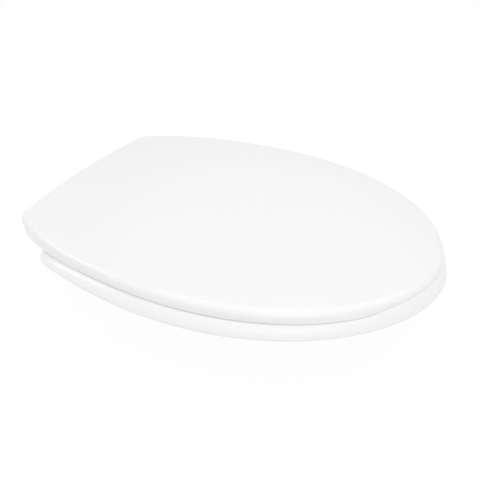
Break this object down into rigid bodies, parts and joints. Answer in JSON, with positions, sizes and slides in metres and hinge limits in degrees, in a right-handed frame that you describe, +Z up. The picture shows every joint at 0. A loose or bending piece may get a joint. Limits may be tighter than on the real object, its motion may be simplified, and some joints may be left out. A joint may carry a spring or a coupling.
{
  "type": "toilet seat",
  "caption": "Oval toilet seat with a domed lid that overhangs an open ring at the rear, on offset plastic hinges with bolts and wing nuts.",
  "frame": {"origin": "midway between the two fixing bolts on the pan's rim, under the hinge pads", "axes": "+X across the seat, -Y toward its front, +Z up"},
  "size_m": [0.3634, 0.4712, 0.1132],
  "materials": {
    "lid_plastic": "smooth glossy moulded white plastic",
    "ring_plastic": "smooth glossy moulded white plastic",
    "hinge_plastic": "glossy moulded white plastic",
    "buffer_rubber": "soft off-white buffer",
    "pad_rubber": "soft off-white gasket",
    "pin_steel": "drawn stainless pin",
    "fixing_nylon": "natural nylon fixing"
  },
  "bodies": {
    "hinge_mount": {"hinge_post_left": "hinge_plastic", "hinge_post_right": "hinge_plastic", "bolt_cap_left": "hinge_plastic", "bolt_cap_right": "hinge_plastic", "hinge_pin_left": "pin_steel", "hinge_pin_right": "pin_steel", "base_pad_left": "pad_rubber", "base_pad_right": "pad_rubber", "fixing_bolt_left": "fixing_nylon", "fixing_bolt_right": "fixing_nylon", "washer_left": "pad_rubber", "washer_right": "pad_rubber", "wing_nut_left": "fixing_nylon", "wing_nut_right": "fixing_nylon"},
    "seat": {"seat_ring": "ring_plastic", "ring_buffer_front_left": "buffer_rubber", "ring_buffer_front_right": "buffer_rubber", "ring_buffer_rear_left": "buffer_rubber", "ring_buffer_rear_right": "buffer_rubber"},
    "cover": {"lid": "lid_plastic", "lid_buffer_front_left": "buffer_rubber", "lid_buffer_front_right": "buffer_rubber", "lid_buffer_rear_left": "buffer_rubber", "lid_buffer_rear_right": "buffer_rubber"}
  },
  "joints": [
    {"name": "ring_hinge", "type": "hinge", "parent": "hinge_mount", "child": "seat", "pos_m": [0, 0.026, 0.015], "axis": [-1, 0, 0], "range_deg": [0, 93]},
    {"name": "lid_hinge", "type": "hinge", "parent": "seat", "child": "cover", "pos_m": [0, 0.026, 0.015], "axis": [-1, 0, 0], "range_deg": [0, 94]}
  ]
}
